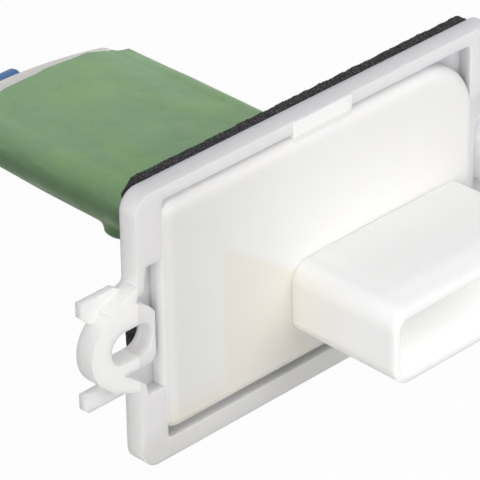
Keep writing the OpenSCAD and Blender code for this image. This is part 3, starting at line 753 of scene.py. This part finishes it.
# %% Make the green silicone
GREEN, FRESH_GREEN, DULL_GREEN = (0.295, 0.485, 0.26), (0.315, 0.54, 0.22), (0.285, 0.43, 0.28)
STAIN_GREEN, SHADE_GREEN, SIDE_TINT = (0.17, 0.30, 0.15), (0.11, 0.21, 0.095), 0.6
silicone = Finish("green_silicone", GREEN, 0.5, Specular_IOR_Level=0.25)
silicone.patches(FRESH_GREEN, 0.6, 90, 3.0, 0.45, 0.62)
silicone.patches(DULL_GREEN, 0.5, 150, 4.0, 0.5, 0.68)
silicone.patches(STAIN_GREEN, 0.18, 420, 5.0, 0.58, 0.7)
# painted shade: a darker green on faces turned away from above
silicone.paint_shading(SHADE_GREEN, SIDE_TINT, silicone.facing("Z", 0.72, 0.1))
silicone.rough(silicone.noise(200, 3.0), 0.38, 0.58)
silicone.grain(170, 3.0, 0.25 * MM, 0.6)
silicone.grain(600, 3.0, 0.06 * MM, 0.5)
silicone.grain(1800, 2.0, 0.015 * MM, 0.5)
print("silicone:", len(silicone.tree.nodes), "nodes")

# %% [markdown]
# ## Form of the coat
# The bar is wound and then dipped, so its coat has slow waves, a sagging far corner and a belly under its
# left side. It ends a little short of the bar, and the coated joint that hangs under it is drawn up and
# to the right. A sculpted mesh could look the same, but in a node tree each of these forms has a name and
# a size. The waves move only the outside, which is told by its distance from the bar, because the inside
# lies on the windings. The other forms fade in between two places on an axis: across and up, they are
# measured from the bar's middle, and along the bar, from the flange's back.

# %% Make the silicone coat
OUTER_SKIN = (1.1 * MM, 1.6 * MM)
FAR_END, FAR_RIM = (46 * MM, 67 * MM), (56 * MM, 65 * MM)
RIGHT_SIDE, LEFT_SIDE = (9 * MM, 19 * MM), (-4 * MM, -14 * MM)
TOP_FACE, UNDERSIDE, JOINT = (2.2 * MM, 4.2 * MM), (-2.4 * MM, -4.0 * MM), (-4.4 * MM, -8.3 * MM)
PAST_ROOT, SHORT_OF_END = (16 * MM, 34 * MM), (62 * MM, 44 * MM)
RIPPLES_PER_WAVE, WAVE_SEED, RIPPLE_SEED = 3.3, 3.0, 8.0


def coat_tree():
    """Waves a skin, lets its far corner sag and its underside belly out, and lifts its joint."""
    tree = Tree("dipped_coat", [
        ("Wave height", "Float"), ("Wave length", "Float"), ("Ripple height", "Float"),
        ("Inner half width", "Float"), ("Inner half height", "Float"), ("Middle", "Vector"),
        ("Sag", "Float"), ("Belly", "Float"), ("Far pull", "Float"), ("Joint lift", "Float"),
        ("Material", "Material")])
    given = tree.given
    place = tree.add("GeometryNodeInputPosition").outputs[0]
    normal = tree.add("GeometryNodeInputNormal").outputs[0]
    local = tree.add("ShaderNodeVectorMath", ((0, place), (1, given["Middle"])), operation="SUBTRACT")
    axes = tree.add("ShaderNodeSeparateXYZ", ((0, local.outputs[0]),)).outputs
    across = tree.math("SUBTRACT", tree.math("ABSOLUTE", axes["X"]), given["Inner half width"])
    above = tree.math("SUBTRACT", tree.math("ABSOLUTE", axes["Z"]), given["Inner half height"])
    outside = tree.ramp(tree.math("MAXIMUM", across, above), *OUTER_SKIN)
    scale = tree.math("DIVIDE", 1.0, given["Wave length"])
    slow = tree.add("ShaderNodeTexNoise", (
        ("Vector", place), ("W", WAVE_SEED), ("Scale", scale), ("Detail", 1.0)),
        noise_dimensions="4D").outputs["Fac"]
    ripple_scale = tree.math("MULTIPLY", scale, RIPPLES_PER_WAVE)
    quick = tree.add("ShaderNodeTexNoise", (
        ("Vector", place), ("W", RIPPLE_SEED), ("Scale", ripple_scale), ("Detail", 2.0)),
        noise_dimensions="4D").outputs["Fac"]
    wave = tree.math("MULTIPLY", tree.math("SUBTRACT", slow, 0.5), given["Wave height"])
    ripple = tree.math("MULTIPLY", tree.math("SUBTRACT", quick, 0.5), given["Ripple height"])
    push = tree.math("MULTIPLY", tree.math("ADD", wave, ripple), outside)
    along = tree.add("ShaderNodeVectorMath", ((0, normal), ("Scale", push)), operation="SCALE").outputs[0]
    far_right = tree.math("MULTIPLY", tree.ramp(axes["Y"], *FAR_END), tree.ramp(axes["X"], *RIGHT_SIDE))
    far_corner = tree.math("MULTIPLY", far_right, tree.ramp(axes["Z"], *TOP_FACE))
    sag = tree.math("MULTIPLY", far_corner, given["Sag"])
    mid = tree.math("MULTIPLY", tree.ramp(axes["Y"], *PAST_ROOT), tree.ramp(axes["Y"], *SHORT_OF_END))
    lower = tree.math("MULTIPLY", tree.ramp(axes["Z"], *UNDERSIDE), tree.ramp(axes["X"], *LEFT_SIDE))
    belly = tree.math("MULTIPLY", tree.math("MULTIPLY", mid, lower), given["Belly"])
    lift = tree.math("MULTIPLY", tree.ramp(axes["Z"], *JOINT), given["Joint lift"])
    rise = tree.math("SUBTRACT", lift, tree.math("ADD", sag, belly))
    pull = tree.math("MULTIPLY", tree.ramp(axes["Y"], *FAR_RIM), given["Far pull"])
    moves = (("X", lift), ("Y", tree.math("MULTIPLY", pull, -1.0)), ("Z", rise))
    shift = tree.add("ShaderNodeCombineXYZ", moves).outputs[0]
    offset = tree.add("ShaderNodeVectorMath", ((0, along), (1, shift)), operation="ADD").outputs[0]
    moved = tree.add("GeometryNodeSetPosition", (("Geometry", given["Geometry"]), ("Offset", offset)))
    tree.close(moved.outputs[0], given["Material"])
    return tree


def make_coat_skin():
    """The coat with its dipped form, measured from the ceramic bar's box."""
    low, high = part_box("ceramic_former")
    middle = ((low.x + high.x) / 2, 0.0, (low.z + high.z) / 2)
    return coat_tree().apply(even_skin("silicone_coating", SKIN_FACE), {
        "Wave height": 1.05 * MM, "Wave length": 10 * MM, "Ripple height": 0.28 * MM,
        "Inner half width": (high.x - low.x) / 2, "Inner half height": (high.z - low.z) / 2,
        "Middle": middle, "Sag": 1.3 * MM, "Belly": 0.65 * MM, "Far pull": 0.6 * MM,
        "Joint lift": 1.3 * MM, "Material": silicone.material})


add_piece("silicone_coat", make_coat_skin(), silicone, "silicone_coating")

# %% [markdown]
# ## Blue sleeve
# The thermal fuse sits in a thin insulating sleeve with soft ends. Its skin is a little uneven in tone
# and relief. Most of it hides behind the bar's end, so a rounded copy of the node is enough.

# %% Make the sleeve
BLUE, PALE_BLUE = (0.065, 0.19, 0.43), (0.09, 0.25, 0.5)
SLEEVE_ROUND = 0.12 * MM
sleeve_skin = Finish("blue_sleeve", BLUE, 0.42)
sleeve_skin.patches(PALE_BLUE, 0.4, 900, 3.0, 0.4, 0.7)
sleeve_skin.grain(700, 2.0, 0.05 * MM, 0.5)
sleeve_mesh = soft_copy("fuse_sleeve", SLEEVE_ROUND, sharp=CURVE_ANGLE)
add_piece("sleeve", sleeve_mesh, sleeve_skin, "fuse_sleeve")

# %% [markdown]
# ## Metal pieces
# The blades are stamped from tinned sheet, so their edges are slightly rounded and the tin has fine draw
# lines along the blade. Noise that is drawn out along one axis makes such lines without any mesh. Leads,
# bands and windings are drawn or rolled metal; most of them stay hidden under the coat.

# %% Make the metals
TIN_GREY, NICKEL_GREY = (0.66, 0.66, 0.64), (0.58, 0.56, 0.52)
OXIDE_BROWN, CASE_GREY = (0.36, 0.31, 0.26), (0.62, 0.6, 0.56)
DRAWN, FINELY_DRAWN = (1, 0.08, 1), (1, 0.05, 1)
tin = Finish("tinned_sheet", TIN_GREY, 0.3, Metallic=1.0)
tin.rough(tin.noise(1500, 3.0, DRAWN), 0.22, 0.42)
tin.bump(tin.noise(4000, 2.0, FINELY_DRAWN), 0.006 * MM, 0.6)
nickel = Finish("drawn_nickel", NICKEL_GREY, 0.32, Metallic=1.0)
nickel.rough(nickel.noise(2500, 3.0), 0.25, 0.45)
wire = Finish("oxidised_wire", OXIDE_BROWN, 0.45, Metallic=1.0)
wire.rough(wire.noise(2500, 3.0), 0.35, 0.6)
fuse_case = Finish("fuse_case", CASE_GREY, 0.35, Metallic=1.0)
fuse_case.rough(fuse_case.noise(1800, 3.0), 0.28, 0.45)
print("metals:", [finish.material.name for finish in (tin, nickel, wire, fuse_case)])

# %% [markdown]
# ## Blades, bands, leads and windings
# The blades can be seen in the socket, so they become pieces with rounded edges. The rest keeps its CAD
# mesh and gets only its metal.

# %% Dress the metal pieces
BLADE_ROUND = 0.08 * MM
for number in range(1, 5):
    blade_mesh = soft_copy(f"terminal_{number}", BLADE_ROUND)
    add_piece(f"blade_{number}", blade_mesh, tin, f"terminal_{number}")
    dress(f"tap_band_{number}", tin)
for name in ("tap_lead_2", "tap_lead_3", "tap_lead_4", "fuse_lead_in", "fuse_lead_out"):
    dress(name, nickel)
for number in range(1, 4):
    dress(f"winding_{number}", wire)
dress("thermal_fuse", fuse_case)
print("leads:", nickel.material.users, "windings:", wire.material.users)

# %% [markdown]
# ## Last step
# The view layer is brought up to date.

# %% Finish
bpy.context.view_layer.update()
